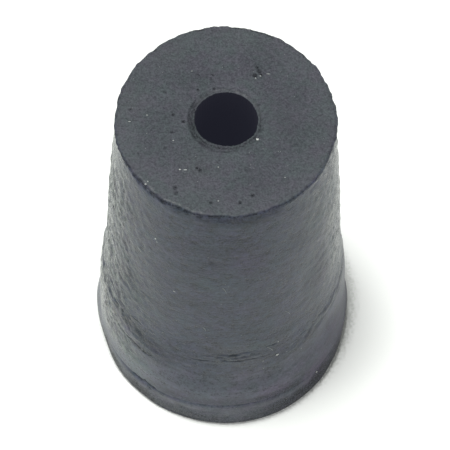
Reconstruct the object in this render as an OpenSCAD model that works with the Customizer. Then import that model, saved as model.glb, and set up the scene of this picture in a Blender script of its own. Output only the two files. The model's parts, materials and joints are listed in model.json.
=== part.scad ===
// One-hole rubber stopper for a flask or a test tube, in the common size 0.
// It is moulded in one piece and then ground to its taper. The grinding
// stops short of the wide end, so a smooth neck and a moulded lip are left
// there, and it cuts the flank slightly hollow. It stands on its wide end.
// The origin is the centre of that face, and +Z runs up through the hole.
// All sizes are in millimetres.

/* [Stopper] */
// Diameter of the wide end, across the moulded lip
wide_end_d = 17; // [16:0.1:22]
// Diameter of the narrow end
narrow_end_d = 13; // [11:0.1:14]
// Length from end to end
length = 25; // [23:0.5:40]
// Bevel worn along the narrow end's edge
edge_bevel = 0.08; // [0.02:0.01:0.3]

/* [Hole] */
// Diameter of the hole through the middle
hole_d = 3.7; // [2:0.1:6]
// Thickness of the collar that stands round the hole's mouth
collar_w = 0.16; // [0.1:0.02:0.4]
// How far the collar's crest lies below the narrow face
collar_drop = 0.05; // [0.02:0.01:0.1]
// Radius of the round groove outside the collar
groove_round = 0.25; // [0.25:0.05:0.5]
// Depth of that groove below the collar's crest
groove_depth = 0.07; // [0.03:0.01:0.12]

/* [Lip and neck] */
// Height of the lip above the wide face
lip_h = 2.2; // [1.5:0.1:3]
// How far the lip stands out past the neck above it
lip_proud = 0.13; // [0.05:0.01:0.3]
// Radius of the rounded edge that the stopper stands on
foot_round = 0.35; // [0.1:0.05:0.6]
// Height over which the lip's upper edge is rounded off
shoulder_h = 0.5; // [0.2:0.1:0.9]
// Depth of the crease between the lip and the neck
crease_depth = 0.05; // [0.02:0.01:0.1]
// Height of that crease
crease_h = 0.12; // [0.06:0.02:0.3]
// Height of the smooth neck above the lip
neck_h = 3.6; // [2.5:0.1:4]

/* [Ground flank] */
// How far the ground flank falls in from the straight taper, at its lowest ring
hollow_depth = 0.13; // [0.05:0.01:0.25]
// Height from the neck up to that ring
hollow_fall_h = 4.6; // [3:0.1:5.5]
// Height from that ring up to where the flank is on the straight taper again
hollow_rise_h = 9; // [5:0.1:9.5]

/* [Hidden] */
rubber = "#55585d";
wide_r = wide_end_d / 2;
narrow_r = narrow_end_d / 2;
hole_r = hole_d / 2;
// Fall of the radius for each millimetre of height
taper = (wide_r - narrow_r) / length;
neck_base_r = wide_r - lip_proud;
shoulder_w = lip_proud + crease_depth;
crease_top_z = lip_h + crease_h;
neck_top_z = lip_h + neck_h;
lowest_ring_z = neck_top_z + hollow_fall_h;
// Straight pieces in a rounded edge or an eased stretch
arc_steps = 10;
right_angle = 90;
half_turn = 180;
// How far a cutter runs past the face that it opens
overrun = 1;
$fn = 180;

// Radius of the straight taper that runs from end to end
function taper_r(z) = wide_r - taper * z;

// How far the neck stands out from the straight taper
neck_out = neck_base_r - taper_r(lip_h);

// Share of an eased stretch that is behind us at part t of its height
function eased(t) = (1 - cos(half_turn * t)) / 2;

// Points of a flank that goes from out_0 to out_1 outside the straight taper,
// between the heights z0 and z0 + rise
function flank_points(z0, rise, out_0, out_1) = [
    for (i = [0 : arc_steps])
        let (t = i / arc_steps, z = z0 + rise * t)
            [taper_r(z) + out_0 + (out_1 - out_0) * eased(t), z]
];

// The foot's edge, as a quarter circle from the wide face to the lip's wall
foot_points = [
    for (i = [0 : arc_steps])
        let (a = right_angle * i / arc_steps)
            [wide_r - foot_round * (1 - sin(a)), foot_round * (1 - cos(a))]
];

// The lip's upper edge, as a quarter ellipse that ends in the crease
shoulder_points = [
    for (i = [0 : arc_steps])
        let (a = right_angle * i / arc_steps)
            [wide_r - shoulder_w * (1 - cos(a)), lip_h - shoulder_h * (1 - sin(a))]
];

// Half of the stopper's section, from its axis out and up
section = concat(
    [[0, 0]],
    foot_points,
    shoulder_points,
    [[taper_r(crease_top_z) + neck_out, crease_top_z]],
    flank_points(neck_top_z, hollow_fall_h, neck_out, -hollow_depth),
    flank_points(lowest_ring_z, hollow_rise_h, -hollow_depth, 0),
    [[narrow_r, length - edge_bevel], [narrow_r - edge_bevel, length], [0, length]]
);

module hole() {
    translate([0, 0, -overrun])
        cylinder(r = hole_r, h = length + 2 * overrun);
}

// The hole's mouth in the narrow face: a round groove with a low collar inside it
module mouth() {
    groove_r = hole_r + collar_w + groove_round;
    crest_z = length - collar_drop;
    translate([0, 0, crest_z - groove_depth + groove_round])
        rotate_extrude()
            translate([groove_r, 0])
                circle(r = groove_round);
    translate([0, 0, crest_z])
        cylinder(r = groove_r, h = overrun);
}

module stopper() {
    color(rubber)
        difference() {
            rotate_extrude()
                polygon(section);
            hole();
            mouth();
        }
}

stopper();
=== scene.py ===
"""Blender scene of a one-hole rubber stopper that stands on its wide end.

One closed mesh takes the CAD solid's place. It follows the same section and
adds an oval foot, a tilted crease, torn rings, worn edges and pits. Dust and
lint are a second piece.

Lengths are in millimetres until a mesh is made. A place on the flank is its
turn, round from the front (-Y) towards +X, and its height. Turns are in degrees
in tables and zones, and so are their half widths. They are worked with in radians.
"""

import json
import math

import bpy
import numpy as np
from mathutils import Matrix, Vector


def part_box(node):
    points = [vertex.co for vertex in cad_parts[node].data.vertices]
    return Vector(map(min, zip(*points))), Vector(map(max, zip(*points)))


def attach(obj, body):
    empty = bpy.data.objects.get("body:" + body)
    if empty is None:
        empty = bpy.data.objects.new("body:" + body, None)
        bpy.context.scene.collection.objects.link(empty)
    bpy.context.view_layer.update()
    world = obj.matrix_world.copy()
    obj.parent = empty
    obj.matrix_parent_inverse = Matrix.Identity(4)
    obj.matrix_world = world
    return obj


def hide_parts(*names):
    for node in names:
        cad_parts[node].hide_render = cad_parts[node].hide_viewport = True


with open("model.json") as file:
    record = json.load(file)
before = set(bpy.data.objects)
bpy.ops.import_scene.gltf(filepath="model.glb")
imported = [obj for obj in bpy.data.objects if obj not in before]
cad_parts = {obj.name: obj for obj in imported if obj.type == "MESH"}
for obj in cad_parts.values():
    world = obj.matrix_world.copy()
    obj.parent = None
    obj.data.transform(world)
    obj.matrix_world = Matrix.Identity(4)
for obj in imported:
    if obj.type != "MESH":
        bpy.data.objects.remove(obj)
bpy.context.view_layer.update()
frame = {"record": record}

MM = 0.001


# ---------------- sizes

NODE_LOW, NODE_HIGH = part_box("stopper")
HOLE = next(mount["dims"] for mount in frame["record"]["mounts"] if mount["name"] == "hole")

LENGTH = (NODE_HIGH.z - NODE_LOW.z) / MM
WIDE_R = (NODE_HIGH.x - NODE_LOW.x) / 2 / MM
NARROW_R = 6.5
EDGE_BEVEL = 0.08
TAPER = (WIDE_R - NARROW_R) / LENGTH

HOLE_R = HOLE["r_mm"]
COLLAR_W = 0.06
COLLAR_DROP = LENGTH - HOLE["length_mm"]
COLLAR_Z = LENGTH - COLLAR_DROP
GROOVE_ROUND = 0.20
GROOVE_DEPTH = 0.07
GROOVE_R = HOLE_R + COLLAR_W + GROOVE_ROUND

LIP_H = 2.2
LIP_PROUD = 0.13
FOOT_ROUND = 0.35
SHOULDER_H = 0.5
CREASE_DEPTH = 0.05
CREASE_H = 0.12
NECK_TOP = LIP_H + 3.6

HOLLOW_DEPTH = 0.13
LOWEST_RING = NECK_TOP + 4.6
HOLLOW_TOP = LOWEST_RING + 9.0

# How far the flank is moulded off the hole's axis
OFF_AXIS = (-0.011, -0.055)
# Oval of the wide end: cosine and sine parts of its radius, once and twice round
OVAL_ONCE = (0.167, -0.009)
OVAL_TWICE = (0.133, 0.085)
# It fades out between these heights
OVAL_FADE = (3.0, 7.0)
# Rise of the crease: its cosine and sine parts, and all the way round
CREASE_TILT = (0.21, 0.45)
CREASE_SHIFT = -0.05
# It fades out of the neck between these heights
CREASE_TILT_FADE = (3.2, 6.5)
# Further rise of the crease: turn, half width, rise
CREASE_RISE = [(2, 60, 0.38)]
# Height of the grinding's lower edge at the front, its rise to both sides, and between which turns
GROUND_EDGE = 6.05
GROUND_EDGE_RISE = 1.3
GROUND_EDGE_TURNS = (20, 65)

# The last row of the hole's wall is this far under its mouth
HOLE_EDGE = 0.02
# Rows of the mesh: heights from, to and spacing, and for the face radii to and spacing
HOLE_ROWS = [(0, 18, 9), (18, 24, 2), (24, COLLAR_Z - HOLE_EDGE, 0.3), (COLLAR_Z - HOLE_EDGE, COLLAR_Z, 1)]
FACE_ROWS = [(NARROW_R - 0.4, 0.086), (NARROW_R - EDGE_BEVEL, 0.055)]
FLANK_ROWS = [
    (LENGTH - EDGE_BEVEL, 24.2, 0.06),
    (24.2, 16, 0.25),
    (16, 9.2, 0.18),
    (9.2, 7.5, 0.06),
    (7.5, 5.6, 0.12),
    (5.6, 2.9, 0.20),
    (2.9, 1.4, 0.055),
    (1.4, FOOT_ROUND, 0.11),
]
COLLAR_SPACING, BASE_SPACING = 0.06, 2.0
# Spacing of the rows round the groove and the foot's edge, in radians
GROOVE_SPACING, FOOT_SPACING = 0.22, 0.26
COLUMNS = 388
# How much closer the columns stand at the front
CROWDING = 0.3


# ---------------- marks

# Torn grinding rings: turn, reach either way, height, depth
TORN_RINGS = [
    (-150, 24, 9.4, 0.05), (-75, 18, 12.6, 0.06), (-60, 16, 10.0, 0.05), (-52, 20, 8.9, 0.05),
    (-46, 26, 6.0, 0.07), (-18, 13, 17.38, 0.065), (-12, 6, 13.2, 0.03), (-6, 12, 20.0, 0.03),
    (-3, 9, 21.35, 0.03), (0, 12, 4.90, 0.02), (1, 19, 7.90, 0.085), (4, 6, 8.62, 0.08),
    (5, 22, 6.20, 0.03), (13, 5, 8.80, 0.05), (14, 6, 4.40, 0.02), (15, 7, 7.86, 0.05),
    (25, 4, 8.80, 0.06), (30, 9, 14.6, 0.02), (43, 4, 8.15, 0.05), (55, 6, 8.38, 0.055),
    (67, 6, 8.40, 0.035), (95, 18, 7.9, 0.03), (140, 30, 8.3, 0.06),
]
TORN_HALF_H = 0.065

# Ovals on the flank: turn, height, half width, half height, and then what they do.
# Depth of small dents, darkened with painted shade
FLANK_DENTS = [
    (-125, 5.2, 0.30, 0.30, 0.05), (-63, 15.9, 0.40, 0.17, 0.05), (-60, 17.4, 0.34, 0.17, 0.05),
    (-57, 10.12, 0.17, 0.17, 0.08), (-57, 16.5, 0.28, 0.16, 0.06), (-54, 14.9, 0.28, 0.16, 0.05),
    (-51, 13.6, 0.34, 0.15, 0.04), (-49, 12.3, 0.40, 0.15, 0.04), (-42, 2.17, 0.30, 0.16, 0.10),
    (-39, 2.24, 0.34, 0.14, 0.12), (-36, 2.44, 0.28, 0.18, 0.10), (-33.5, 2.42, 0.30, 0.14, 0.12),
    (-33, 2.08, 0.16, 0.12, 0.08), (-31, 2.36, 0.26, 0.16, 0.10), (3, 1.25, 0.12, 0.35, 0.05),
    (11, 1.20, 0.10, 0.30, 0.04), (20, 0.96, 0.16, 0.22, 0.05), (61, 17.7, 0.50, 0.15, 0.04),
    (66, 16.6, 0.80, 0.17, 0.05), (70, 15.1, 0.50, 0.15, 0.04), (160, 1.9, 0.40, 0.30, 0.06),
]

# Rise of broad swells, or hollows where negative
FLANK_SWELLS = [
    (-97, 9.7, 1.5, 0.8, -0.07), (-92, 11.0, 2.2, 1.7, -0.14), (-90, 1.5, 3.0, 1.1, 0.14),
    (-90, 22.9, 1.8, 0.7, -0.06), (-80, 14.1, 1.2, 0.5, -0.05), (-70, 0.4, 2.4, 0.9, -0.13),
    (-17, 0.3, 3.4, 0.9, -0.08), (42, 0.4, 2.2, 0.8, -0.04), (75, 1.0, 1.5, 0.8, -0.06),
    (90, 2.2, 2.4, 1.0, 0.09), (91, 22.9, 1.8, 0.7, -0.06), (96, 21.5, 1.6, 1.0, -0.06),
]

# Painted light: tone of paler patches, or painted shade where negative
FLANK_PAINTED_LIGHT = [
    (-85, 11.4, 2.2, 3.2, 0.45), (-83, 9.6, 1.4, 0.9, 0.30), (-82, 23.0, 2.2, 1.6, 0.22),
    (-68, 1.8, 1.6, 0.8, -0.30), (-62, 1.2, 1.6, 0.8, -0.45), (-60, 4.3, 3.6, 0.7, -0.35),
    (-54, 5.2, 2.6, 1.2, -0.18), (-51, 12.8, 2.8, 4.4, -0.28), (-42, 7.6, 2.4, 0.9, -0.40),
    (-40, 4.8, 2.2, 1.0, -0.14), (-34, 6.0, 3.8, 0.52, -0.42), (-33, 6.9, 3.0, 1.9, -0.28),
    (-30, 16.0, 1.6, 2.0, -0.12), (-22, 2.05, 3.2, 0.35, 0.36), (-17, 3.2, 2.2, 1.0, -0.20),
    (2, 2.0, 5.5, 0.8, -0.12), (2, 9.3, 2.8, 1.4, 0.20), (4, 4.6, 3.0, 1.4, 0.12),
    (5, 7.9, 4.2, 0.9, 0.22), (9, 6.2, 3.4, 1.6, 0.12), (10, 9.1, 3.2, 0.8, 0.12),
    (12, 7.3, 2.6, 0.8, 0.16), (18, 6.0, 6.0, 2.0, 0.14), (22, 8.8, 3.0, 1.2, 0.10),
    (25, 3.0, 3.0, 1.0, -0.42), (28, 8.9, 1.8, 0.9, 0.12), (38, 3.2, 2.0, 1.0, -0.16),
    (53, 14.0, 2.0, 4.2, -0.24), (55, 5.0, 3.6, 2.6, -0.14), (58, 8.06, 1.8, 0.16, 0.40),
    (60, 6.0, 1.4, 1.2, -0.16), (68, 17.8, 1.6, 2.4, 0.85), (70, 11.5, 1.4, 2.0, 0.14),
    (82, 13.5, 2.0, 3.0, 0.40), (82, 18.0, 2.0, 1.8, 0.62), (83, 22.6, 2.0, 1.7, 0.50),
    (88, 2.2, 1.4, 1.2, 0.30),
]
# Tinge of purple patches, or green ones where negative
FLANK_TINGES = [
    (-45, 4.0, 4.0, 3.2, -0.7),
    (-42, 11.6, 3.0, 2.0, -0.5),
    (-9, 17.2, 1.2, 1.3, -1.0),
    (11, 6.2, 1.8, 1.0, 1.0),
    (13, 20.0, 2.6, 2.6, 1.0),
    (18, 9.2, 1.8, 1.0, -0.6),
    (22, 3.6, 2.4, 1.3, 1.0),
    (46, 2.6, 2.2, 1.5, 1.0),
    (54, 20.4, 2.4, 2.6, -0.7),
    (58, 17.8, 1.4, 1.2, 0.8),
    (58, 12.8, 1.6, 1.6, 0.6),
]
# Painted light in paler patches of the narrow face, painted shade where negative: x, y, radius, tone
FACE_PAINTED_LIGHT = [
    (-1.7, -3.6, 2.0, 0.08),
    (-3.4, 4.4, 2.0, 0.05),
    (-5.6, 0.9, 1.8, 0.06),
    (0.8, 6.0, 1.8, 0.05),
    (3.4, 0.1, 2.0, -0.22),
    (1.6, -4.1, 1.6, -0.12),
    (-2.9, 0.6, 1.2, -0.10),
]

# Pits in the narrow face: x, y, radius, depth
FACE_PITS = [
    (1.94, 3.36, 0.10, 0.14), (1.68, 3.07, 0.09, 0.12), (1.80, 3.62, 0.08, 0.08),
    (2.06, 3.10, 0.07, 0.06), (-1.68, 3.02, 0.06, 0.05), (-0.81, 3.04, 0.06, 0.08),
    (-0.91, 2.80, 0.05, 0.06), (-1.70, 2.00, 0.06, 0.06), (-0.72, 2.10, 0.06, 0.06),
    (-3.67, 1.82, 0.08, 0.04), (-5.65, 0.56, 0.07, 0.06), (-3.09, 0.26, 0.07, 0.06),
    (-2.48, -0.20, 0.07, 0.12), (-3.14, -0.93, 0.07, 0.05), (-3.50, -1.98, 0.07, 0.05),
    (-5.07, -2.40, 0.07, 0.04), (-1.63, -3.30, 0.07, 0.07), (-1.45, -3.44, 0.08, 0.09),
    (1.23, -3.38, 0.06, 0.05), (-2.87, -4.64, 0.09, 0.07), (-2.78, -4.98, 0.08, 0.08),
    (1.64, -5.02, 0.08, 0.09), (0.92, -5.52, 0.07, 0.07), (-0.77, -5.56, 0.07, 0.06),
]

# Pale specks on the flank: turn, height, half length round the flank, half height, how pale
FLANK_SPECKS = [
    (27, 7.44, 0.13, 0.06, 1.0), (20, 7.29, 0.05, 0.05, 0.5), (20, 6.41, 0.04, 0.05, 0.45),
    (32, 7.26, 0.04, 0.04, 0.4), (28, 8.88, 0.06, 0.05, 0.5), (-36, 20.38, 0.07, 0.07, 1.0),
    (-35, 20.15, 0.05, 0.04, 0.8), (-24, 15.42, 0.09, 0.05, 0.6), (-56, 18.2, 0.05, 0.09, 0.6),
    (47, 2.32, 0.07, 0.07, 0.8), (41, 15.15, 0.05, 0.05, 0.45), (49, 8.26, 0.05, 0.04, 0.5),
    (66, 6.78, 0.05, 0.05, 0.45), (39, 18.84, 0.04, 0.05, 0.4), (40, 6.51, 0.05, 0.04, 0.45),
    (23, 15.48, 0.04, 0.04, 0.4),
]
# Pale specks on the narrow face: x, y, half length along x, half length along y, how pale
FACE_SPECKS = [
    (1.87, -1.32, 0.09, 0.08, 1.0), (-2.62, -3.43, 0.07, 0.045, 0.8), (-2.30, -3.44, 0.12, 0.03, 0.6),
    (-4.58, -4.44, 0.07, 0.05, 0.6), (-4.46, -4.26, 0.05, 0.04, 0.5), (-2.08, 3.27, 0.05, 0.04, 0.4),
    (-4.64, 0.18, 0.05, 0.05, 0.4), (-5.66, -0.27, 0.09, 0.03, 0.5), (-3.05, -1.50, 0.05, 0.04, 0.4),
    (-0.39, -3.22, 0.04, 0.05, 0.4), (-0.35, -5.45, 0.05, 0.04, 0.4), (3.50, -3.82, 0.05, 0.04, 0.4),
    (1.99, 3.02, 0.07, 0.04, 0.6), (1.71, 2.86, 0.06, 0.04, 0.6), (2.45, 3.18, 0.12, 0.025, 0.5),
]
# Lint on the flank, from one end to the other: turn, height, turn, height
LINT = [
    (22, 8.80, 25.0, 8.12),
    (0, 17.15, 2.0, 16.43),
    (32, 12.33, 35.0, 11.52),
    (-9, 11.9, -7.5, 11.5),
]

# Wear on the hole's mouth: turn, half width, how far out
MOUTH_WEAR = [
    (-112, 26, 0.03),
    (-12, 44, -0.07),
    (62, 26, 0.09),
    (96, 30, 0.04),
    (140, 30, 0.02),
]

# Wear on the narrow edge: turn, half width, depth
EDGE_WEAR = [
    (-172, 16, -0.05),
    (-125, 9, -0.03),
    (-111, 7, -0.04),
    (-78, 18, -0.08),
    (-66, 7, 0.02),
    (-48, 7, 0.07),
    (-2, 9, 0.06),
    (27, 5, 0.04),
    (86, 20, -0.09),
    (127, 8, -0.05),
    (150, 9, -0.04),
]

# Zones: turn, half width, how strong it is there
COARSE_SIDES = [(-78, 58, 1), (76, 58, 0.6)]
# Where the lip is worn into the neck above it
WORN_LIP = [(-76, 36, 1), (78, 60, 1)]
# Where the foot is rounded off by wear: its strength is radius beyond FOOT_ROUND
WORN_FOOT = [(-68, 26, 0.40), (52, 34, 0.15), (76, 26, 0.65)]
# Where painted shade reaches higher up the foot, and where it darkens the lip
FOOT_SHADE = [(-70, 46, 1), (72, 52, 1)]
LIP_SHADE = [(-37, 24, 1), (-14, 40, 0.78), (42, 56, 0.92)]

# Zones with no strength of their own: turn, half width
# Scuffed zones, whose pale streaks also stand for painted highlight along both sides
SCUFFED_AND_HIGHLIT_LEFT, SCUFFED_AND_HIGHLIT_RIGHT = (-80, 54), (86, 48)
POLISHED_LEFT, POLISHED_RIGHT = (-95, 44), (95, 40)
SHADED_RIGHT = (80, 62)
TORN_LEFT = (-64, 46)
OPEN_CREASE, BROKEN_CREASE = (-38, 20), (-50, 36)
DARK_CREASE_FRONT, DARK_CREASE_RIGHT = (6, 54), (32, 30)
SHADED_NECK = (4, 54)
WORN_EDGE_FRONT = (-6, 58)
DARK_EDGE_FRONT, DARK_EDGE_LEFT = (-4, 60), (-68, 30)
UNDERCUT_LEFT = (-40, 38)
SHADED_UNDER_EDGE_FRONT = (7, 38)
CRUMBLED_EDGE, CRUMBLED_EDGE_LEFT = (-10, 80), (-36, 34)
LIT_COLLAR, WIDE_COLLAR = (165, 90), (-90, 60)
OPEN_GROOVE_LEFT, OPEN_GROOVE_RIGHT = (-80, 90), (80, 50)

# Layers of noise: weight, cells round the axis, height of a cell, seed
CREASE_WOBBLE = [(0.10, 16, 1, 5)]
GROUND_EDGE_WOBBLE = [(0.12, 40, 1, 8)]
WAVES = [(0.010, 9, 2.6, 1)]
NECK_WAVES = [(0.004, 60, 0.5, 4)]
GRIT = [(0.014, 26, 0.45, 2), (0.030, 100, 0.42, 3), (0.014, 190, 0.20, 14)]
CHUNKS = [(1, 140, 0.36, 40), (0.8, 190, 0.24, 41)]
CRACK_GAPS = [(1, 40, 1.2, 42)]
RING_DRIFT = [(0.09, 60, 1, 9), (0.07, 190, 1, 10)]
RING_FRAY = [(0.6, 210, 0.10, 6), (0.5, 90, 0.5, 7)]
CRUMBS = [(1, 190, 0.24, 15), (0.5, 60, 0.5, 16)]
LUMPS = [(1, 150, 0.34, 43)]
TORN_PATCH_RELIEF = [(0.045, 200, 0.12, 17)]
TORN_PATCH_HOLES = [(1, 170, 0.10, 18)]
CREASE_FRAY = [(0.7, 150, 0.2, 19)]
CREASE_BREAKS = [(0.9, 100, 1, 47)]
SHADE_FRAY = [(0.16, 150, 0.2, 19), (0.14, 60, 0.6, 20)]
EDGE_NICKS, EDGE_CHIPS = [(0.028, 210, 1, 11)], [(1, 70, 1, 12)]
UNDERCUT_DRIFT = [(0.07, 170, 1, 13), (0.03, 60, 1, 31)]
UNDERCUT_BREAKS, UNDERCUT_SHADE = [(1.2, 190, 0.16, 32)], [(0.9, 210, 0.09, 48)]
EDGE_CRUMBS = [(1.6, 210, 0.12, 44)]
COLLAR_BREAKS = [(1, 60, 0.12, 45)]
MOUTH_NIBBLES = [(0.018, 130, 1, 46)]
GROOVE_FRAY = [(0.3, 90, 0.15, 33)]
# Layers of noise on the narrow face: weight, size of a cell, seed
FACE_GRAIN = [(0.007, 0.22, 21), (0.010, 1.1, 22)]


# ---------------- curves and noise

def unit(value):
    """The value, kept between 0 and 1."""
    return np.clip(value, 0, 1)


def smooth(t):
    """Goes from 0 to 1 with no kink as t goes from 0 to 1."""
    t = unit(t)
    return t * t * (3 - 2 * t)


def fade(value, start, end):
    """Goes smoothly from 0 to 1 as the value goes from start to end."""
    return smooth((value - start) / (end - start))


def eased(t):
    """The CAD section's cosine ease, from 0 to 1."""
    return (1 - np.cos(np.pi * unit(t))) / 2


def band(value, middle, half_width):
    """1 where the value is at the middle, 0 from the half width on."""
    return smooth(1 - np.abs((value - middle) / half_width))


def swing(turn, parts):
    """Sum of the parts that go with the cosine and the sine of a turn."""
    return parts[0] * np.cos(turn) + parts[1] * np.sin(turn)


def turn_gap(turn, centre):
    """Angle in radians, the short way round, from a centre in degrees to a turn."""
    gap = turn - math.radians(centre)
    return (gap + math.pi) % math.tau - math.pi


def near(turn, zone, flatness=1):
    """1 in the middle of a zone, 0 outside it. A flatness under 1 widens its middle."""
    centre, half_width = zone
    return band(turn_gap(turn, centre), 0, math.radians(half_width)) ** flatness


def zone_sum(turn, zones, flatness=1):
    """Sum of the strengths of some zones at this turn."""
    return sum(strength * near(turn, zone, flatness) for *zone, strength in zones)


def zone_max(turn, zones, flatness=1):
    """The greatest of the strengths of some zones at this turn."""
    return np.max([strength * near(turn, zone, flatness) for *zone, strength in zones], axis=0)


def in_patch(turn, z, patch):
    """1 in the middle of an oval patch, 0 outside it."""
    centre, height, half_w, half_h = patch
    return band(np.hypot(turn_gap(turn, centre) * WIDE_R / half_w, (z - height) / half_h), 0, 1)


def between(grid, u, v):
    """Smooth values between a grid's numbers, at row u and column v. Its columns close up."""
    i, j = np.floor(u).astype(int), np.floor(v).astype(int)
    s, t = smooth(u - i), smooth(v - j)
    left, right = j % grid.shape[1], (j + 1) % grid.shape[1]
    low = grid[i, left] * (1 - t) + grid[i, right] * t
    high = grid[i + 1, left] * (1 - t) + grid[i + 1, right] * t
    return low * (1 - s) + high * s


def noise(turn, height, layers):
    """Smooth noise round the axis: a sum of layers, each from -1 to 1 times its weight."""
    total = 0
    for weight, cells_round, cell_h, seed in layers:
        cells_up = int(LENGTH / cell_h) + 3
        grid = np.random.default_rng(seed).uniform(-1, 1, (cells_up, cells_round))
        up = np.clip(height / cell_h, 0, cells_up - 2)
        total = total + weight * between(grid, up, turn / math.tau * cells_round)
    return total


def face_noise(x, y, layers):
    """The same kind of noise on the narrow face."""
    total, half = 0, WIDE_R + 1
    for weight, cell, seed in layers:
        cells = int(2 * half / cell) + 2
        grid = np.random.default_rng(seed).uniform(-1, 1, (cells, cells))
        total = total + weight * between(grid, (x + half) / cell, (y + half) / cell)
    return total


# ---------------- section

def flank_radius(z, foot_round=FOOT_ROUND):
    """Radius of the CAD section's outer side."""
    neck_out = TAPER * LIP_H - LIP_PROUD
    falling = neck_out - (HOLLOW_DEPTH + neck_out) * eased((z - NECK_TOP) / (LOWEST_RING - NECK_TOP))
    rising = -HOLLOW_DEPTH * (1 - eased((z - LOWEST_RING) / (HOLLOW_TOP - LOWEST_RING)))
    above = WIDE_R - TAPER * z + np.where(z < LOWEST_RING, falling, rising)

    shoulder = unit((z - LIP_H + SHOULDER_H) / SHOULDER_H)
    lip = WIDE_R - (LIP_PROUD + CREASE_DEPTH) * (1 - np.sqrt(1 - shoulder**2))
    crease_floor = WIDE_R - LIP_PROUD - CREASE_DEPTH
    crease = smooth((z - LIP_H) / CREASE_H)
    radius = np.where(z < LIP_H, lip, crease_floor + (above - crease_floor) * crease)

    return radius - foot_cut(z, foot_round)


def foot_cut(z, foot_round):
    """How far the foot's rounded edge lies inside the wall."""
    below = unit(1 - z / foot_round)
    return foot_round * (1 - np.sqrt(1 - below**2))


def stations(start, end, step):
    """Even places from start towards end, about step apart, without the end."""
    count = max(1, round(abs(end - start) / step))
    return list(np.linspace(start, end, count, endpoint=False))


def section_rows():
    """The section as a loop, up the hole and down the flank: (radius, height, part) of each row."""
    groove_z = COLLAR_Z - GROOVE_DEPTH + GROOVE_ROUND
    inner = math.acos((groove_z - COLLAR_Z) / GROOVE_ROUND)
    outer = math.acos((groove_z - LENGTH) / GROOVE_ROUND)
    rows = [(HOLE_R, z, "hole") for stretch in HOLE_ROWS for z in stations(*stretch)]
    collar_end = GROOVE_R - GROOVE_ROUND * math.sin(inner)
    rows += [(r, COLLAR_Z, "mouth") for r in stations(HOLE_R, collar_end, COLLAR_SPACING)]
    for a in stations(-inner, outer, GROOVE_SPACING):
        rows.append((GROOVE_R + GROOVE_ROUND * math.sin(a), groove_z - GROOVE_ROUND * math.cos(a), "mouth"))
    start = GROOVE_R + GROOVE_ROUND * math.sin(outer)
    for end, spacing in FACE_ROWS:
        rows += [(r, LENGTH, "face") for r in stations(start, end, spacing)]
        start = end
    flank = [z for stretch in FLANK_ROWS for z in stations(*stretch)]
    flank += [FOOT_ROUND * (1 - math.cos(a)) for a in stations(math.pi / 2, 0, FOOT_SPACING)]
    rows += [(float(flank_radius(z)), z, "flank") for z in flank]
    rows += [(r, 0.0, "base") for r in stations(WIDE_R - FOOT_ROUND, HOLE_R, BASE_SPACING)]
    return rows


# ---------------- shape of the flank

def oval(turn, z):
    """How far the wide end stands out from a true circle."""
    return (swing(turn, OVAL_ONCE) + swing(2 * turn, OVAL_TWICE)) * (1 - fade(z, *OVAL_FADE))


def crease_shift(turn, z):
    """How far the crease and what lies next to it is raised."""
    tilt = swing(turn, CREASE_TILT) + CREASE_SHIFT
    tilt += zone_sum(turn, CREASE_RISE) + noise(turn, 0, CREASE_WOBBLE)
    return tilt * np.where(z < LIP_H, smooth(z / LIP_H), 1 - fade(z, *CREASE_TILT_FADE))


def lip_sharpness(turn):
    """1 where the crease is crisp, less where the lip is worn."""
    crisp = 0.55 + 0.45 * near(turn, OPEN_CREASE)
    breaks = np.clip(noise(turn, 0, CREASE_BREAKS), -1, 0.2) * near(turn, BROKEN_CREASE, 0.5)
    return unit(crisp * (1 - 0.9 * zone_max(turn, WORN_LIP, 0.35)) * (1 + breaks))


# How far the worn lip runs up the neck, from whole to gone, and stands out there
WORN_LIP_FADE = (1.4, 3.6)
WORN_LIP_PROUD = 0.07


def outer_radius(turn, z):
    """Radius of the outer side, with the wide end's oval and its worn lip and foot."""
    foot_round = FOOT_ROUND + zone_sum(turn, WORN_FOOT, 0.5)
    neck = WIDE_R - TAPER * z + TAPER * LIP_H - LIP_PROUD
    worn_lip = neck + WORN_LIP_PROUD * (1 - fade(z, *WORN_LIP_FADE)) - foot_cut(z, foot_round)
    crisp = flank_radius(z, foot_round)
    worn = crisp + (worn_lip - crisp) * (1 - lip_sharpness(turn))
    return np.where(z < WORN_LIP_FADE[1], worn, crisp) + oval(turn, z)


# ---------------- wear, painted light and painted shade of the flank

def ground_edge(turn):
    """Height of the grinding's lower edge."""
    side = fade(np.abs(np.degrees(turn)), *GROUND_EDGE_TURNS)
    return GROUND_EDGE + GROUND_EDGE_RISE * side + noise(turn, 0, GROUND_EDGE_WOBBLE)


def scuffing_and_side_highlight(turn, z):
    """How badly the flank is scuffed, most at the left; its pale streaks also paint a highlight along both
    sides.
    """
    left = near(turn, SCUFFED_AND_HIGHLIT_LEFT, 0.7) * fade(z, 25.5, 20.5) * fade(z, 2.6, 4.1)
    right = 0.62 * near(turn, SCUFFED_AND_HIGHLIT_RIGHT, 0.7) * fade(z, 9, 13)
    return unit(left + right)


def polishing(turn, z):
    """How far handling has polished both sides of the rubber."""
    return np.maximum(near(turn, POLISHED_LEFT) * fade(z, 1, 10), near(turn, POLISHED_RIGHT) * fade(z, 9, 14))


def right_foot_shade(turn, z):
    """How far painted shade darkens the rubber near the foot, at the right; the same mask makes it rougher.
    """
    return near(turn, SHADED_RIGHT, 0.6) * fade(z, 9, 3)


def tinge(turn, z):
    """From 0 for green to 1 for purple."""
    purple = sum(strength * in_patch(turn, z, patch) for *patch, strength in FLANK_TINGES)
    return unit(0.5 + 0.5 * purple)


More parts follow.
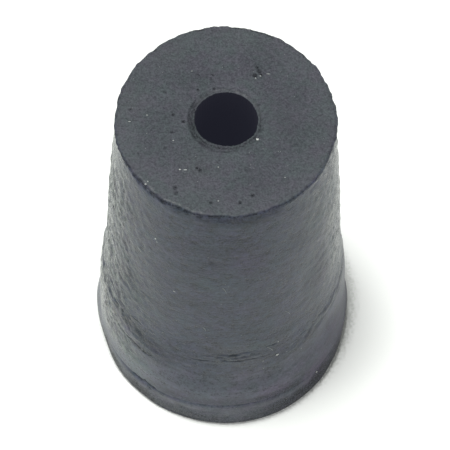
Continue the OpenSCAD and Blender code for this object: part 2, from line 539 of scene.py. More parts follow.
class Marks:
    """Relief on a grid of points, and each point's painted shade, how worn or painted pale it is, and how
    ground it is.
    """

    def __init__(self, shape):
        self.relief, self.hollow, self.worn, self.ground = (np.zeros(shape) for _ in range(4))

    def darken(self, amount):
        self.hollow = np.maximum(self.hollow, amount)

    def rub(self, amount):
        self.worn = np.maximum(self.worn, amount)

    def shade(self, tone):
        """Paints light on points, or paints shade where the tone is negative."""
        self.worn = self.worn + np.maximum(tone, 0)
        self.hollow = self.hollow + np.maximum(-tone, 0)


# The grinding comes in over this height above its lower edge
GROUND_FADE = 0.25
# Bands above the grinding's lower edge and a ridge below it: middle, half height
COARSE_BAND, TORN_BAND, TORN_RIDGE = (0.8, 1.2), (0.8, 1.5), (-0.45, 0.75)
# A small torn patch at the front: turn, height, half width, half height
TORN_PATCH = (6, 8.45, 3.0, 0.65)
# Depths at which a torn ring and a dent are fully dark with painted shade
RING_DARK_DEPTH, DENT_DARK_DEPTH = 0.07, 0.08
# Half height of the crease's painted shade line, and heights above it between which painted shade on the neck
# fades out
CREASE_LINE, NECK_SHADE_H = 0.20, (1.3, 0.2)
# How high painted shade reaches on the foot's edge at the front, and its rise to both sides
FOOT_SHADE_H, FOOT_SHADE_RISE = 0.85, 0.85
# How high painted shade reaches on the lip at the left, its rise to the right, and between which turns
LIP_SHADE_TOP, LIP_SHADE_RISE, LIP_SHADE_TURNS = 2.45, 0.6, (-5, 30)


def grind(marks, turn, z):
    """Grain of the ground flank, coarsest at the left and just above its lower edge."""
    above_edge = z - ground_edge(turn)
    ground = smooth(above_edge / GROUND_FADE)
    sides = zone_max(turn, COARSE_SIDES)
    coarse = 0.25 + 0.75 * sides + band(above_edge, *COARSE_BAND) * (0.2 + sides)
    marks.relief += noise(turn, z, WAVES) + coarse * ground * noise(turn, z, GRIT)
    marks.relief += (1 - ground) * noise(turn, z, NECK_WAVES)
    marks.ground = ground


def scuff(marks, turn, z):
    """Lifted chunks of rubber, with cracks between them darkened with painted shade."""
    scuffs = scuffing_and_side_highlight(turn, z)
    chunks = noise(turn, z, CHUNKS)
    cracks = unit(1 - 5 * np.abs(chunks)) * unit(0.6 + noise(turn, z, CRACK_GAPS))
    marks.relief += scuffs * (0.036 * chunks - 0.05 * cracks)
    marks.darken(0.45 * scuffs * cracks)


def tear_rings(marks, turn, z):
    """Torn rings: each is a ragged cut that drifts up and down, darkened with painted shade."""
    torn = np.clip(0.75 + noise(turn, z, RING_FRAY), 0, 1.3)
    for *zone, height, depth in TORN_RINGS:
        drift = noise(turn, height, RING_DRIFT)
        cut = near(turn, zone, 0.5) * band(z - drift, height, TORN_HALF_H) * torn
        marks.relief -= depth * cut
        marks.darken(cut * depth / RING_DARK_DEPTH)


def tear_ground_edge(marks, turn, z):
    """Torn rubber above the grinding's lower edge, darkened with painted shade, and a lumpy pale ridge below
    it.
    """
    at_left, above_edge = near(turn, TORN_LEFT, 0.7), z - ground_edge(turn)
    crumbs = band(above_edge, *TORN_BAND) ** 0.6 * at_left * unit(0.35 + noise(turn, z, CRUMBS))
    marks.relief -= 0.045 * crumbs
    marks.darken(0.42 * crumbs)

    ridge = band(above_edge, *TORN_RIDGE) * at_left
    lumps = noise(turn, z, LUMPS)
    marks.relief += 0.03 * ridge * lumps
    marks.rub(0.45 * ridge * unit(0.4 + 1.2 * lumps))

    patch = in_patch(turn, z, TORN_PATCH) ** 0.7
    marks.relief += patch * noise(turn, z, TORN_PATCH_RELIEF)
    marks.darken(0.50 * patch * unit(noise(turn, z, TORN_PATCH_HOLES)))


def dent(marks, turn, z):
    """Small dents darkened with painted shade, and broad swells and hollows."""
    for *patch, depth in FLANK_DENTS:
        cut = in_patch(turn, z, patch)
        marks.relief -= depth * cut
        marks.darken(min(1, depth / DENT_DARK_DEPTH) * cut)
    for *patch, rise in FLANK_SWELLS:
        marks.relief += rise * in_patch(turn, z, patch)


def shade_crease(marks, turn, z):
    """Painted shade in the crease above the lip, and on the neck above it at the front."""
    above = z - LIP_H - CREASE_H / 2 - crease_shift(turn, LIP_H)
    line = band(above, 0, CREASE_LINE) * (0.20 + 0.32 * near(turn, DARK_CREASE_FRONT, 0.6))
    line *= 0.7 + noise(turn, z, CREASE_FRAY)
    marks.darken(line * np.maximum(lip_sharpness(turn), 0.85 * near(turn, DARK_CREASE_RIGHT, 0.6)))
    marks.darken(0.30 * near(turn, SHADED_NECK, 0.6) * fade(above, *NECK_SHADE_H) * (above > 0))


def shade_foot(marks, turn, z):
    """Painted shade on the foot's edge, highest at both sides, and painted shade that thins out up the lip.
    """
    ragged = noise(turn, z, SHADE_FRAY)
    foot_top = FOOT_SHADE_H + FOOT_SHADE_RISE * zone_sum(turn, FOOT_SHADE) ** 0.8
    marks.darken(0.80 * smooth((foot_top - z + ragged) / 0.4))
    lip_top = LIP_SHADE_TOP + LIP_SHADE_RISE * fade(np.degrees(turn), *LIP_SHADE_TURNS)
    marks.darken(zone_max(turn, LIP_SHADE, 0.7) * smooth((lip_top - z + 2 * ragged) / 1.6))


def flank_marks(turn, z):
    """All marks on the flank."""
    marks = Marks(turn.shape)
    for step in (grind, scuff, tear_rings, tear_ground_edge, dent, shade_crease, shade_foot):
        step(marks, turn, z)
    # Painted light and shade in patches
    for *patch, tone in FLANK_PAINTED_LIGHT:
        marks.shade(tone * in_patch(turn, z, patch))
    return marks


# ---------------- wear, painted light and painted shade of the narrow end

# How far the narrow edge stands out where it isn't worn, and how far it is worn at the front
EDGE_PROUD, EDGE_FRONT_WEAR = 0.035, 0.065
CHIP_DEPTH = 0.06
UNDERCUT_DEPTH = 0.09
# How far in from the narrow edge its wear reaches, and how far down
EDGE_REACH_IN, EDGE_REACH_DOWN = 0.45, 0.7
# Painted shade under the front edge: middle, half height
UNDER_EDGE_SHADE = (24.45, 0.95)
# Where crumbs stand on the face, measured outward from its edge: middle, half width
EDGE_CRUMB_BAND = (-0.17, 0.13)
# How much of the groove round the hole is open at the back
GROOVE_OPEN = 0.20
# A pit reaches this many of its radii, and has a raised rim: middle, half width in radii
PIT_REACH, PIT_RIM = 1.7, (2.1, 0.8)


def edge_wear(turn):
    """How far the narrow edge is worn back at this turn."""
    chips = unit(noise(turn, 3, EDGE_CHIPS)) ** 2
    worn = EDGE_FRONT_WEAR * near(turn, WORN_EDGE_FRONT, 0.4) - EDGE_PROUD + zone_sum(turn, EDGE_WEAR)
    return worn + noise(turn, 0, EDGE_NICKS) + CHIP_DEPTH * chips


def undercut(turn, z):
    """How far the ragged groove just under the narrow edge is cut, from 0 to 1."""
    left = 0.30 + 0.70 * near(turn, UNDERCUT_LEFT, 0.7)
    middle = LENGTH - 0.11 - 0.08 * left - noise(turn, 5, UNDERCUT_DRIFT)
    breaks = np.clip(0.75 + noise(turn, z, UNDERCUT_BREAKS), 0, 1.3)
    return band(z, middle, 0.06 + 0.09 * left) * left * breaks


def face_marks(x, y):
    """Grain, pits, and painted light and shade of the narrow face."""
    marks = Marks(x.shape)
    marks.relief += face_noise(x, y, FACE_GRAIN)
    for px, py, radius, depth in FACE_PITS:
        gap = np.hypot(x - px, y - py) / radius
        cut = band(gap, 0, PIT_REACH)
        marks.relief += depth * (0.25 * band(gap, *PIT_RIM) - cut)
        # Each pit is darkened with painted shade
        marks.darken(unit(2.2 * cut) * min(1, depth / 0.06))
    marks.shade(0.05 * fade(np.hypot(x, y), 4.2, 6.4))
    for px, py, reach, tone in FACE_PAINTED_LIGHT:
        marks.shade(tone * band(np.hypot(x - px, y - py), 0, reach))
    return marks


# ---------------- the stopper's grid

class Grid(Marks):
    """The stopper's points, in rows along the section and columns round the axis."""

    def __init__(self, rows):
        """Starts from the (radius, height, part) of each row."""
        super().__init__((len(rows), COLUMNS))
        radii, heights, parts = zip(*rows)
        self.part = np.array(parts)
        even = np.arange(COLUMNS) / COLUMNS * math.tau - math.pi
        self.turn = np.tile(even - CROWDING * np.sin(even), (len(rows), 1))
        self.radius = np.tile(np.array(radii)[:, None], COLUMNS)
        self.height = np.tile(np.array(heights)[:, None], COLUMNS)
        self.off_axis = np.zeros_like(self.turn)

    def rows(self, *parts):
        """Which rows belong to these parts of the section."""
        return np.isin(self.part, parts)

    def on(self, *parts):
        """The same for every point, to multiply by."""
        return self.rows(*parts)[:, None] * np.ones_like(self.turn)

    def x_and_y(self):
        x = self.radius * np.sin(self.turn) + OFF_AXIS[0] * self.off_axis
        return x, OFF_AXIS[1] * self.off_axis - self.radius * np.cos(self.turn)


def shape_flank(grid):
    """Gives the flank its oval, its tilted crease and its marks."""
    flank = grid.rows("flank")
    turn, z = grid.turn[flank], grid.height[flank]
    raised = z + crease_shift(turn, z)
    marks = flank_marks(turn, raised)
    grid.radius[flank] = outer_radius(turn, z) + marks.relief * fade(z, 0.02, 0.42)
    grid.height[flank] = raised
    grid.hollow[flank], grid.worn[flank], grid.ground[flank] = marks.hollow, marks.worn, marks.ground
    grid.off_axis[flank] = 1


def shape_ends(grid):
    """Draws the wide face out to the oval foot, and both faces' edges off the axis."""
    base, face = grid.rows("base"), grid.rows("face")
    share = (grid.radius[base] - HOLE_R) / (WIDE_R - FOOT_ROUND - HOLE_R)
    grid.radius[base] = HOLE_R + share * (outer_radius(grid.turn[base], 0.0) - HOLE_R)
    grid.off_axis[base] = share
    grid.off_axis[face] = fade(grid.radius[face], GROOVE_R, NARROW_R)


def wear_narrow_edge(grid):
    """Wears the narrow edge, cuts the ragged groove just under it, and paints shade along the edge, in the
    groove and under it.
    """
    turn, on_face, on_flank = grid.turn, grid.on("face"), grid.on("flank")
    worn_back = edge_wear(turn)
    near_edge = fade(grid.radius, NARROW_R - EDGE_REACH_IN, NARROW_R) * on_face
    near_edge += fade(grid.height, LENGTH - EDGE_REACH_DOWN, LENGTH) * on_flank
    grid.radius -= worn_back * near_edge
    cut = undercut(turn, grid.height) * on_flank
    grid.radius -= UNDERCUT_DEPTH * cut
    # The groove is darkened with painted shade
    grid.darken(cut * np.clip(1 + noise(turn, grid.height, UNDERCUT_SHADE), 0.2, 1.6))

    edge_r = NARROW_R - worn_back
    back, front = smooth(-np.cos(turn)), near(turn, DARK_EDGE_FRONT, 0.5)
    at_edge = np.abs(grid.height - LENGTH) + np.abs(grid.radius - edge_r) < 0.10 + 0.04 * back
    # Painted shade along the narrow edge, darkest at the back, the front and the left
    edge_dark = 0.5 + 0.3 * back + 0.4 * front + 0.4 * near(turn, DARK_EDGE_LEFT)
    grid.darken(edge_dark * at_edge * (on_face + on_flank))
    grid.darken(0.42 * band(grid.height, *UNDER_EDGE_SHADE) * near(turn, SHADED_UNDER_EDGE_FRONT) * on_flank)

    # Crumbs of pale rubber stand along the front edge
    crumbs = unit(noise(turn, grid.radius, EDGE_CRUMBS))
    crumbs *= (0.25 + 0.75 * near(turn, CRUMBLED_EDGE_LEFT, 0.5)) * near(turn, CRUMBLED_EDGE, 0.5)
    grid.rub((0.6 * crumbs + 0.06 * front) * band(grid.radius - edge_r, *EDGE_CRUMB_BAND) * on_face)


def wear_mouth(grid):
    """Paints a highlight and shade on the collar, and wears the hole's mouth a little out of round."""
    turn, on_mouth = grid.turn, grid.on("mouth")
    beyond = grid.radius - HOLE_R
    # The collar gets a broken painted highlight at the back, and painted shade at the front
    at_back = near(turn, LIT_COLLAR, 0.5)
    broken = noise(turn, beyond, COLLAR_BREAKS)
    grid.rub(0.28 * band(beyond, 0.15, 0.16) * on_mouth * at_back * np.clip(0.7 + broken, 0, 1.3))
    dull = band(beyond, 0.16, 0.15 + 0.10 * near(turn, WIDE_COLLAR)) * (1 - at_back)
    grid.darken(unit(0.65 + 0.35 * broken) * dull * on_mouth)

    worn = noise(turn, 0, MOUTH_NIBBLES) + zone_sum(turn, MOUTH_WEAR)
    in_hole = fade(grid.height, LENGTH - 1.5, LENGTH - 0.1) * grid.on("hole")
    grid.radius += worn * (in_hole + (1 - fade(beyond, 0, 0.5)) * on_mouth)


def choke_groove(grid):
    """Fills most of the groove round the hole with rubber. It is open at the left. What stays open is
    darkened with painted shade.
    """
    turn, full_depth = grid.turn, COLLAR_DROP + GROOVE_DEPTH
    open_share = GROOVE_OPEN + 0.65 * near(turn, OPEN_GROOVE_LEFT, 0.6) + 0.3 * near(turn, OPEN_GROOVE_RIGHT)
    open_share = unit(open_share + noise(turn, grid.radius, GROOVE_FRAY))
    groove = unit((LENGTH - grid.height) / full_depth) ** 2.2 * open_share * grid.on("mouth")
    grid.height = np.where(grid.on("mouth") > 0, LENGTH - full_depth * groove, grid.height)
    grid.darken(0.55 * groove)


def mark_face(grid):
    """Gives the narrow face and the hole's mouth their grain, pits, and painted light and shade."""
    top = grid.rows("face", "mouth")
    x, y = grid.x_and_y()
    marks = face_marks(x[top], y[top])
    grid.height[top] += marks.relief * fade(grid.radius[top], HOLE_R, HOLE_R + 0.4)
    grid.hollow[top] = np.maximum(grid.hollow[top], marks.hollow)
    grid.worn[top] = np.maximum(grid.worn[top], marks.worn)


def stopper_grid():
    """The stopper's grid with its final shape and all its marks."""
    grid = Grid(section_rows())
    for step in (shape_flank, shape_ends, wear_narrow_edge, wear_mouth, choke_groove, mark_face):
        step(grid)
    return grid


def surface_values(grid):
    """What the material reads at each point, by name."""
    turn, z, on_flank = grid.turn, grid.height, grid.on("flank")
    return {
        "hollow": unit(grid.hollow),
        "worn": unit(grid.worn),
        "ground": grid.ground,
        "scuffs": scuffing_and_side_highlight(turn, z) * on_flank,
        "polished": polishing(turn, z) * on_flank,
        "soiled": right_foot_shade(turn, z) * on_flank,
        "purple": np.where(on_flank > 0, tinge(turn, z), 0.5),
        "face": grid.on("face", "mouth"),
    }


# ---------------- meshes

def loop_faces(rows, columns):
    """Quads of a grid that closes both ways, by corner numbers and turned outward."""
    i, j = np.meshgrid(np.arange(rows), np.arange(columns), indexing="ij")
    after_i, after_j = (i + 1) % rows, (j + 1) % columns
    corners = [i * columns + j, after_i * columns + j, after_i * columns + after_j, i * columns + after_j]
    return np.stack(corners, axis=-1).reshape(-1, 4).tolist()


def tube_faces(rings, sides):
    """The same for rings of points, with a cap at each end."""
    last = (rings - 1) * sides
    return loop_faces(rings, sides)[:last] + [list(range(sides)), list(range(last, last + sides))[::-1]]


def new_object(name, data):
    """An object that stands in the scene."""
    piece = bpy.data.objects.new(name, data)
    bpy.context.scene.collection.objects.link(piece)
    return piece


def new_mesh(name, points, faces):
    """A smooth-shaded mesh object from points in millimetres."""
    mesh = bpy.data.meshes.new(name)
    mesh.from_pydata((np.asarray(points) * MM).tolist(), [], faces)
    mesh.validate()
    mesh.shade_smooth()
    return new_object(name, mesh)


def surface_value(mesh, name, values):
    """Stores one number per point, for the material to read."""
    attribute = mesh.attributes.new(name, "FLOAT", "POINT")
    attribute.data.foreach_set("value", np.asarray(values, np.float32).ravel())


def make_stopper(grid):
    """The stopper as one closed mesh. The hole's wall has a material of its own."""
    points = np.stack([*grid.x_and_y(), grid.height], axis=-1)
    piece = new_mesh("stopper_rubber", points.reshape(-1, 3), loop_faces(*grid.turn.shape))
    for name, numbers in surface_values(grid).items():
        surface_value(piece.data, name, numbers)
    piece.data.materials.append(rubber_material())
    piece.data.materials.append(bore_material())
    piece.data.polygons.foreach_set("material_index", grid.on("hole").astype(np.int32).ravel())
    return piece


# ---------------- dust and lint

DUST_SEED = 77
SCATTERED_SPECKS = 120
# How pale a speck is, from 0 to 1
PALE_SCATTER, PALE_LINT = 0.22, 0.45
# Scattered specks: middle and spread of the turn and of the height, range of sizes
SCATTER_TURN, SCATTER_HEIGHT, SCATTER_SIZE = (22, 38), (9.5, 5.5), (0.016, 0.034)
FACE_SCATTER_SIZE = (0.014, 0.028)
SPECK_RINGS, SPECK_SIDES = 5, 8
LINT_R = 0.015
LINT_SIDES, LINT_STATIONS = 6, 9
# How far lint bows out from a straight line, in degrees of turn
LINT_BOW = 0.35


def seat_on_flank(grid, turn, height):
    """A point of the flank, and the directions out, round and down there."""
    flank = grid.rows("flank")
    gap = np.abs(turn_gap(grid.turn[flank], turn)) * WIDE_R
    radius = grid.radius[flank].flat[np.argmin(gap + np.abs(grid.height[flank] - height))]
    sin, cos = math.sin(math.radians(turn)), math.cos(math.radians(turn))
    out = np.array([sin, -cos, TAPER]) / math.hypot(1, TAPER)
    around = np.array([cos, sin, 0])
    seat = np.array([radius * sin + OFF_AXIS[0], OFF_AXIS[1] - radius * cos, height])
    return seat, out, around, np.cross(around, out)


def seat_on_face(x, y):
    """A point of the narrow face, and the directions up, along x and along y."""
    return np.array([x, y, LENGTH]), *np.eye(3)[[2, 0, 1]]


def speck(place, half_along, half_across, rng):
    """Points and faces of an irregular grain, half sunk in the surface."""
    seat, out, along, across = place
    lump = rng.uniform(0.75, 1.2, (SPECK_RINGS, SPECK_SIDES))
    rise = 0.6 * min(half_along, half_across)
    points = []
    for i in range(SPECK_RINGS):
        lean = math.pi * (i + 0.5) / SPECK_RINGS
        for j in range(SPECK_SIDES):
            a = math.tau * j / SPECK_SIDES
            flat = half_along * math.cos(a) * along + half_across * math.sin(a) * across
            points.append(seat + lump[i, j] * (math.sin(lean) * flat + rise * math.cos(lean) * out))
    faces = tube_faces(SPECK_RINGS, SPECK_SIDES)
    if np.dot(np.cross(along, across), out) < 0:
        faces = [face[::-1] for face in faces]
    return points, faces


def lint(grid, turn, height, end_turn, end_height):
    """Points and faces of a thin fibre that lies on the flank from one place to another."""
    shares = np.linspace(0, 1, LINT_STATIONS)
    turns = turn + (end_turn - turn) * shares + LINT_BOW * np.sin(math.pi * shares)
    heights = height + (end_height - height) * shares
    places = [seat_on_flank(grid, *place) for place in zip(turns, heights)]
    seats, last, points = [place[0] for place in places], LINT_STATIONS - 1, []
    for i, (seat, out, _, _) in enumerate(places):
        ahead = seats[min(i + 1, last)] - seats[max(i - 1, 0)]
        side = np.cross(ahead / np.linalg.norm(ahead), out)
        radius = LINT_R * (0.4 if i in (0, last) else 1)
        for j in range(LINT_SIDES):
            a = math.tau * j / LINT_SIDES
            points.append(seat + radius * (0.6 * out + math.cos(a) * side + math.sin(a) * out))
    return points, tube_faces(LINT_STATIONS, LINT_SIDES)


def scattered_specks(grid, rng):
    """Small specks all over the front of the flank and the narrow face."""
    grains = []
    for _ in range(SCATTERED_SPECKS):
        turn, height = rng.normal(*SCATTER_TURN), rng.normal(*SCATTER_HEIGHT)
        size = rng.uniform(*SCATTER_SIZE)
        if 1.0 < height < LENGTH - 0.5:
            place = seat_on_flank(grid, turn, height)
            grains.append(speck(place, size * rng.uniform(1, 1.8), size, rng))
    for _ in range(SCATTERED_SPECKS // 3):
        a, r = rng.uniform(0, math.tau), rng.uniform(HOLE_R + 0.5, NARROW_R - 0.3)
        size = rng.uniform(*FACE_SCATTER_SIZE)
        grains.append(speck(seat_on_face(r * math.sin(a), -r * math.cos(a)), size, size, rng))
    return grains


def make_dust(grid):
    """Specks and lint on the stopper, as one piece."""
    rng = np.random.default_rng(DUST_SEED)
    grains = []
    for turn, height, half_w, half_h, how_pale in FLANK_SPECKS:
        grains.append((speck(seat_on_flank(grid, turn, height), half_w, half_h, rng), how_pale))
    for x, y, half_x, half_y, how_pale in FACE_SPECKS:
        grains.append((speck(seat_on_face(x, y), half_x, half_y, rng), how_pale))
    grains += [(grain, PALE_SCATTER) for grain in scattered_specks(grid, rng)]
    grains += [(lint(grid, *ends), PALE_LINT) for ends in LINT]

    points, faces, pale = [], [], []
    for (some_points, some_faces), how_pale in grains:
        faces += [[len(points) + corner for corner in face] for face in some_faces]
        points += some_points
        pale += [how_pale] * len(some_points)
    piece = new_mesh("surface_dust", points, faces)
    surface_value(piece.data, "pale", pale)
    piece.data.materials.append(dust_material())
    return piece


# ---------------- shader nodes

class Nodes:
    """Adds nodes to the tree of a material or of the world."""

    def __init__(self, tree):
        self.tree = tree
        tree.nodes.clear()

    def add(self, kind, settings=None, **inputs):
        """Adds a node. An input goes by name, or by i and number, and is a value or a socket."""
        node = self.tree.nodes.new("ShaderNode" + kind)
        for name, value in (settings or {}).items():
            setattr(node, name, value)
        for name, value in inputs.items():
            socket = node.inputs[int(name[1:]) if name[1:].isdigit() else name.replace("_", " ")]
            if isinstance(value, bpy.types.NodeSocket):
                self.tree.links.new(value, socket)
            else:
                socket.default_value = value
        return node.outputs

    def math(self, operation, first, second=0.0, third=0.0):
        return self.add("Math", {"operation": operation}, i0=first, i1=second, i2=third)[0]

    def times(self, first, second):
        return self.math("MULTIPLY", first, second)

    def vector(self, operation, **inputs):
        return self.add("VectorMath", {"operation": operation}, **inputs)[0]

    def blend(self, parts, total=0.0):
        """Total plus the sum of (socket, weight) pairs."""
        for socket, weight in parts:
            total = self.math("MULTIPLY_ADD", socket, weight, total)
        return total

    def ramp(self, value, start, end, low=0.0, high=1.0, shape="LINEAR"):
        """Goes from low to high as the value goes from start to end, and stays there."""
        settings = {"interpolation_type": shape}
        return self.add("MapRange", settings, Value=value, i1=start, i2=end, i3=low, i4=high)[0]

    def mix(self, factor, first, second, blend_type="MIX"):
        """Mixes two colours."""
        settings = {"data_type": "RGBA", "blend_type": blend_type}
        return self.add("Mix", settings, i0=factor, i6=first, i7=second)[2]

    def mix_value(self, factor, first, second):
        return self.add("Mix", {"data_type": "FLOAT"}, i0=factor, i2=first, i3=second)[0]

    def value(self, name):
        """A number stored at each point."""
        return self.add("Attribute", {"attribute_name": name})["Fac"]

    def millimetres(self, kind="TexCoord", name="Object"):
        """Place in millimetres, from an output of a kind of node."""
        return self.vector("SCALE", Vector=self.add(kind)[name], Scale=1 / MM)

    def noise(self, place, scale, detail, roughness):
        return self.add("TexNoise", Vector=place, Scale=scale, Detail=detail, Roughness=roughness)["Fac"]

    def streaks(self, mm, turn_scale, height_scale, detail, roughness):
        """Noise that runs round the flank as streaks."""
        compass = self.vector("NORMALIZE", i0=self.vector("MULTIPLY", i0=mm, i1=(1, 1, 0)))
        up = self.vector("MULTIPLY", i0=mm, i1=(0, 0, height_scale))
        place = self.vector("MULTIPLY_ADD", i0=compass, i1=(turn_scale, turn_scale, 0), i2=up)
        return self.noise(place, 1.0, detail, roughness)

    def bump(self, height, depth_mm, strength):
        return self.add("Bump", Strength=strength, Distance=depth_mm * MM, Height=height)[0]

    def principled(self, **inputs):
        """Ends the material in one principled shader."""
        self.add("OutputMaterial", Surface=self.add("BsdfPrincipled", **inputs)[0])


def new_material(name):
    """A material, and what adds nodes to it."""
    material = bpy.data.materials.new(name)
    material.use_nodes = True
    return material, Nodes(material.node_tree)


# ---------------- materials

FLANK_DARK = (0.013, 0.0165, 0.025, 1)
FLANK_LIGHT = (0.072, 0.085, 0.126, 1)
# The smooth neck and lip are painted paler than the ground flank: partly their own tone, partly painted light
# that makes up for their darker reflection near the foot
NECK_TINT = (1.75, 1.62, 1.50, 1)
# Painted shade near the foot at the right
FOOT_SHADE_TINT = (0.80, 0.68, 0.78, 1)
FACE_DARK = (0.022, 0.025, 0.030, 1)
FACE_LIGHT = (0.062, 0.069, 0.078, 1)
# Pale scuffs, partly painted highlight along the sides
SCUFF_AND_HIGHLIGHT_COLOUR = (0.168, 0.182, 0.172, 1)
WORN_AND_LIT_COLOUR = (0.190, 0.198, 0.196, 1)
GREEN_TINT = (0.84, 1.06, 0.90, 1)
PURPLE_TINT = (1.18, 0.94, 1.10, 1)
# Painted shade: the colour that recesses, creases, cracks, pits and the foot are darkened towards
SHADE_COLOUR = (0.008, 0.008, 0.010, 1)
# The rubber mirrors a little bluer than it scatters
MIRROR_TINT = (0.88, 0.925, 1.0, 1)
SHEEN_TINT = (0.92, 1.0, 0.80, 1)
NECK_ROUGH, FLANK_ROUGH, FACE_ROUGH = 0.30, 0.34, 0.50
# How strong the pattern is on the neck, next to the ground flank
NECK_CONTRAST = 0.65

HOLE_DARK = (0.004, 0.004, 0.006, 1)
HOLE_LIGHT = (0.016, 0.016, 0.021, 1)
# Painted glow: light the hole's wall gives off itself, so that its depth isn't quite black
HOLE_GLOW = (0.0115, 0.0120, 0.0190, 1)

DUST_DARK = (0.12, 0.13, 0.13, 1)
DUST_LIGHT = (0.66, 0.68, 0.66, 1)


def rubber_pattern(nodes, mm, face, ground):
    """Pale and dark grain: streaks and blotches on the flank, fine and even on the face."""
    grain = nodes.noise(mm, 4.0, 4.0, 0.7)
    speckle = nodes.noise(mm, 8.0, 2.0, 0.6)
    flank_parts = [
        (nodes.streaks(mm, 6.0, 4.5, 4.0, 0.7), 0.40),
        (nodes.streaks(mm, 26.0, 8.0, 3.0, 0.65), 0.16),
        (speckle, 0.22),
        (grain, 0.46),
        (nodes.noise(mm, 2.2, 2.0, 0.6), 0.34),
    ]
    middle = sum(weight for _, weight in flank_parts) / 2
    flank_pattern = nodes.math("SUBTRACT", nodes.blend(flank_parts), middle)
    contrast = nodes.mix_value(ground, NECK_CONTRAST, 1.0)
    flank_pattern = nodes.math("MULTIPLY_ADD", flank_pattern, contrast, 0.5)
    return nodes.mix_value(face, flank_pattern, nodes.blend([(grain, 0.65), (speckle, 0.35)]))


def rubber_colour(nodes, mm, pattern, face, ground, scuffs):
    """Colour of the rubber, before wear and most painted light and shade."""
    clouds = nodes.noise(mm, 0.5, 2.0, 0.5)
    tone = nodes.ramp(nodes.blend([(pattern, 0.85), (clouds, 0.15)]), 0.39, 0.61)
    pale = nodes.ramp(nodes.streaks(mm, 15.0, 4.0, 4.0, 0.7), 0.46, 0.60, 0.0, 0.70)
    hue = nodes.ramp(nodes.noise(mm, 0.9, 3.0, 0.7), 0.38, 0.62, -0.22, 0.22)
    hue = nodes.math("ADD", hue, nodes.value("purple"))

    flank = nodes.mix(tone, FLANK_DARK, FLANK_LIGHT)
    flank = nodes.mix(nodes.times(pale, scuffs), flank, SCUFF_AND_HIGHLIGHT_COLOUR)
    flank = nodes.mix(nodes.math("SUBTRACT", 1.0, ground), flank, NECK_TINT, "MULTIPLY")
    flank = nodes.mix(nodes.value("soiled"), flank, FOOT_SHADE_TINT, "MULTIPLY")
    colour = nodes.mix(face, flank, nodes.mix(tone, FACE_DARK, FACE_LIGHT))
    return nodes.mix(1.0, colour, nodes.mix(hue, GREEN_TINT, PURPLE_TINT), "MULTIPLY")


def rubber_material():
    """Charcoal rubber: a ground flank, a smoother neck and lip, and a dull narrow face."""
    material, nodes = new_material("charcoal_rubber")
    mm = nodes.millimetres()
    face, ground, scuffs = (nodes.value(name) for name in ("face", "ground", "scuffs"))
    crumbs = nodes.ramp(nodes.noise(mm, 11.0, 2.0, 0.6), 0.40, 0.60, 0.35, 1.20)
    crumbly = [nodes.times(nodes.value(name), crumbs) for name in ("hollow", "worn")]
    hollow, worn = (nodes.math("MINIMUM", amount, 1.0) for amount in crumbly)
    gouges = nodes.times(nodes.ramp(nodes.streaks(mm, 22.0, 4.0, 3.0, 0.7), 0.55, 0.64), scuffs)
    pattern = rubber_pattern(nodes, mm, face, ground)

    colour = rubber_colour(nodes, mm, pattern, face, ground, scuffs)
    # Paler where worn and where light is painted, darker in gouges and where shade is painted
    colour = nodes.mix(worn, colour, WORN_AND_LIT_COLOUR)
    colour = nodes.mix(nodes.times(gouges, 0.5), colour, SHADE_COLOUR)
    colour = nodes.mix(hollow, colour, SHADE_COLOUR)

    rough = nodes.mix_value(face, nodes.mix_value(ground, NECK_ROUGH, FLANK_ROUGH), FACE_ROUGH)
    rougher = [
        (nodes.math("SUBTRACT", pattern, 0.5), 0.65),
        (nodes.value("polished"), -0.14),
        (nodes.value("soiled"), 0.30),
        (gouges, 0.20),
        (hollow, 0.45),
    ]
    relief = nodes.times(pattern, nodes.mix_value(face, nodes.mix_value(ground, 0.8, 1.0), 1.0))
    relief = nodes.blend([(gouges, -0.5)], relief)
    nodes.principled(
        Base_Color=colour,
        Roughness=nodes.blend(rougher, rough),
        IOR=1.315,
        Normal=nodes.bump(relief, 0.045, 0.9),
        Specular_Tint=MIRROR_TINT,
        Sheen_Weight=0.11,
        Sheen_Roughness=0.3,
        Sheen_Tint=SHEEN_TINT,
    )
    return material


def bore_material():
    """The hole's wall: the same rubber, as moulded and never rubbed, with a faint painted glow."""
    material, nodes = new_material("bore_rubber")
    grain = nodes.noise(nodes.millimetres(), 3.0, 3.0, 0.6)
    nodes.principled(
        Base_Color=nodes.mix(grain, HOLE_DARK, HOLE_LIGHT),
        Roughness=nodes.math("MULTIPLY_ADD", grain, 0.2, 0.65),
        IOR=1.25,
        Normal=nodes.bump(grain, 0.02, 0.6),
        Emission_Color=HOLE_GLOW,
        Emission_Strength=1.0,
    )
    return material


def dust_material():
    """Pale dust and lint, in patches."""
    material, nodes = new_material("pale_dust")
    mm = nodes.millimetres()
    patches = nodes.math("ADD", nodes.noise(mm, 1.7, 3.0, 0.6), 0.35)
    fluff = nodes.noise(mm, 30.0, 2.0, 0.6)
    nodes.principled(
        Base_Color=nodes.mix(nodes.times(nodes.value("pale"), patches), DUST_DARK, DUST_LIGHT),
        Roughness=nodes.math("MULTIPLY_ADD", fluff, 0.2, 0.75),
        Normal=nodes.bump(fluff, 0.01, 0.6),
    )
    return material


# ---------------- stage

FLOOR_COLOUR = (0.86, 0.885, 0.85, 1)
FLOOR_HALF = 1.5
# What the floor adds to be white clear of the shadow, and where that comes in: an
# oval like the foot's, with its middle behind the axis, where the shadow falls
LIFT = 0.24
LIFT_START, LIFT_END = 8.3, 9.3
FOOT_ASPECT = (1.0, 0.97, 1.0)
LIFT_MIDDLE = (0.2, 0.5, 0.0)
# The same for the far floor, which the lamp doesn't reach
FAR_LIFT = 0.55
FAR_START, FAR_END = 40, 260
# How far the floor's grain breaks up the edge of the shadow
FLOOR_GRAIN = 1.6

SURROUND = 0.28
SURROUND_COLOUR = (0.98, 1.0, 0.97, 1)


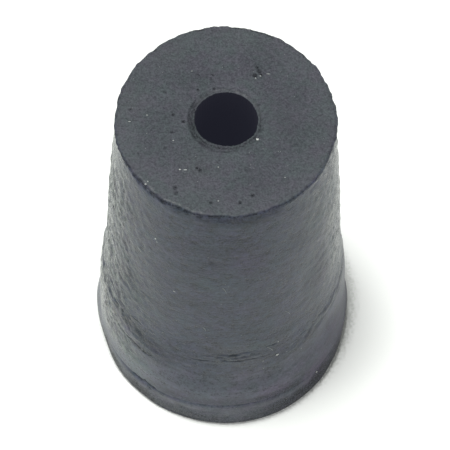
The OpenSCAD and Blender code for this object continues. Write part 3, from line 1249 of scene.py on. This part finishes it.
def seen_directly(nodes):
    """1 for rays from the camera and in mirrors and glass."""
    path = nodes.add("LightPath")
    seen = nodes.math("MAXIMUM", path["Is Camera Ray"], path["Is Glossy Ray"])
    return nodes.math("MAXIMUM", seen, path["Is Transmission Ray"])


def make_floor():
    """A white floor that takes the shadow."""
    bpy.ops.mesh.primitive_plane_add(size=2 * FLOOR_HALF)
    floor = bpy.context.object
    floor.name = "floor"
    material, nodes = new_material("white_floor")
    mm = nodes.millimetres("NewGeometry", "Position")
    off_middle = nodes.vector("SUBTRACT", i0=mm, i1=LIFT_MIDDLE)
    oval_mm = nodes.vector("MULTIPLY", i0=off_middle, i1=FOOT_ASPECT)
    distance = nodes.add("VectorMath", {"operation": "LENGTH"}, i0=oval_mm)["Value"]
    grain = nodes.math("SUBTRACT", nodes.noise(mm, 5.0, 2.0, 0.6), 0.5)
    distance = nodes.blend([(grain, FLOOR_GRAIN)], distance)
    lift = nodes.ramp(distance, LIFT_START, LIFT_END, 0.0, LIFT, "SMOOTHSTEP")
    far = nodes.ramp(distance, FAR_START, FAR_END, 0.0, FAR_LIFT, "SMOOTHSTEP")
    strength = nodes.times(nodes.math("ADD", lift, far), seen_directly(nodes))

    paint = nodes.add("BsdfDiffuse", Color=FLOOR_COLOUR)[0]
    glow = nodes.add("Emission", Strength=strength)[0]
    nodes.add("OutputMaterial", Surface=nodes.add("AddShader", i0=paint, i1=glow)[0])
    floor.data.materials.append(material)


def make_surroundings():
    """Even pale light all round. It is plain white where it is seen."""
    world = bpy.data.worlds.new("white_room")
    world.use_nodes = True
    nodes = Nodes(world.node_tree)
    seen = seen_directly(nodes)
    strength = nodes.blend([(seen, 1 - SURROUND)], SURROUND)
    colour = nodes.mix(seen, SURROUND_COLOUR, (1, 1, 1, 1))
    nodes.add("OutputWorld", Surface=nodes.add("Background", Color=colour, Strength=strength)[0])
    bpy.context.scene.world = world


def add_softbox(name, turn, elevation, distance, size, power):
    """A square lamp, in degrees, metres and watts, that faces the stopper."""
    turn, elevation = math.radians(turn), math.radians(elevation)
    flat = math.cos(elevation)
    away = Vector((math.sin(turn) * flat, -math.cos(turn) * flat, math.sin(elevation)))
    lamp = bpy.data.lights.new(name, "AREA")
    lamp.size = size
    lamp.energy = power
    softbox = new_object(name, lamp)
    softbox.location = away * distance
    softbox.rotation_mode = "QUATERNION"
    softbox.rotation_quaternion = away.to_track_quat("Z", "Y")


# ---------------- camera

FRAME_PX = 450
SENSOR_MM = 36
FOCAL_PX = 2371
VIEW_ELEVATION = 59.84
VIEW_DISTANCE = 139.5
VIEW_ROLL = 1.14
# Where the middle of the narrow face lies in the frame, before the camera rolls
FACE_PX = (223.68, 120.20)


def make_camera():
    """The camera looks down on the stopper, with the narrow face high in the frame."""
    camera = bpy.data.cameras.new("camera")
    camera.sensor_width = SENSOR_MM
    camera.lens = FOCAL_PX / FRAME_PX * SENSOR_MM
    camera.clip_start, camera.clip_end = 0.01, 10
    seat = new_object("camera", camera)
    elevation = math.radians(VIEW_ELEVATION)
    away = Vector((0, -math.cos(elevation), math.sin(elevation)))
    seat.location = (Vector((*OFF_AXIS, LENGTH)) + away * VIEW_DISTANCE) * MM
    # Turned up and aside from the face's middle, and then rolled
    off_x, off_y = FACE_PX[0] - FRAME_PX / 2, FACE_PX[1] - FRAME_PX / 2
    up = math.pi / 2 - elevation + math.atan2(off_y, FOCAL_PX)
    aside = math.atan2(off_x, math.hypot(FOCAL_PX, off_y))
    seat.rotation_mode = "ZYX"
    seat.rotation_euler = (up, aside, math.radians(VIEW_ROLL))
    bpy.context.scene.camera = seat


# ---------------- the scene

make_camera()
grid = stopper_grid()
stopper = make_stopper(grid)
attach(stopper, "root")
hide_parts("stopper")
dust = make_dust(grid)
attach(dust, "root")

make_floor()
make_surroundings()
add_softbox("key_softbox", turn=-103, elevation=82, distance=0.4, size=0.10, power=1.47)
bpy.context.scene.view_settings.view_transform = "Standard"

bpy.context.view_layer.update()
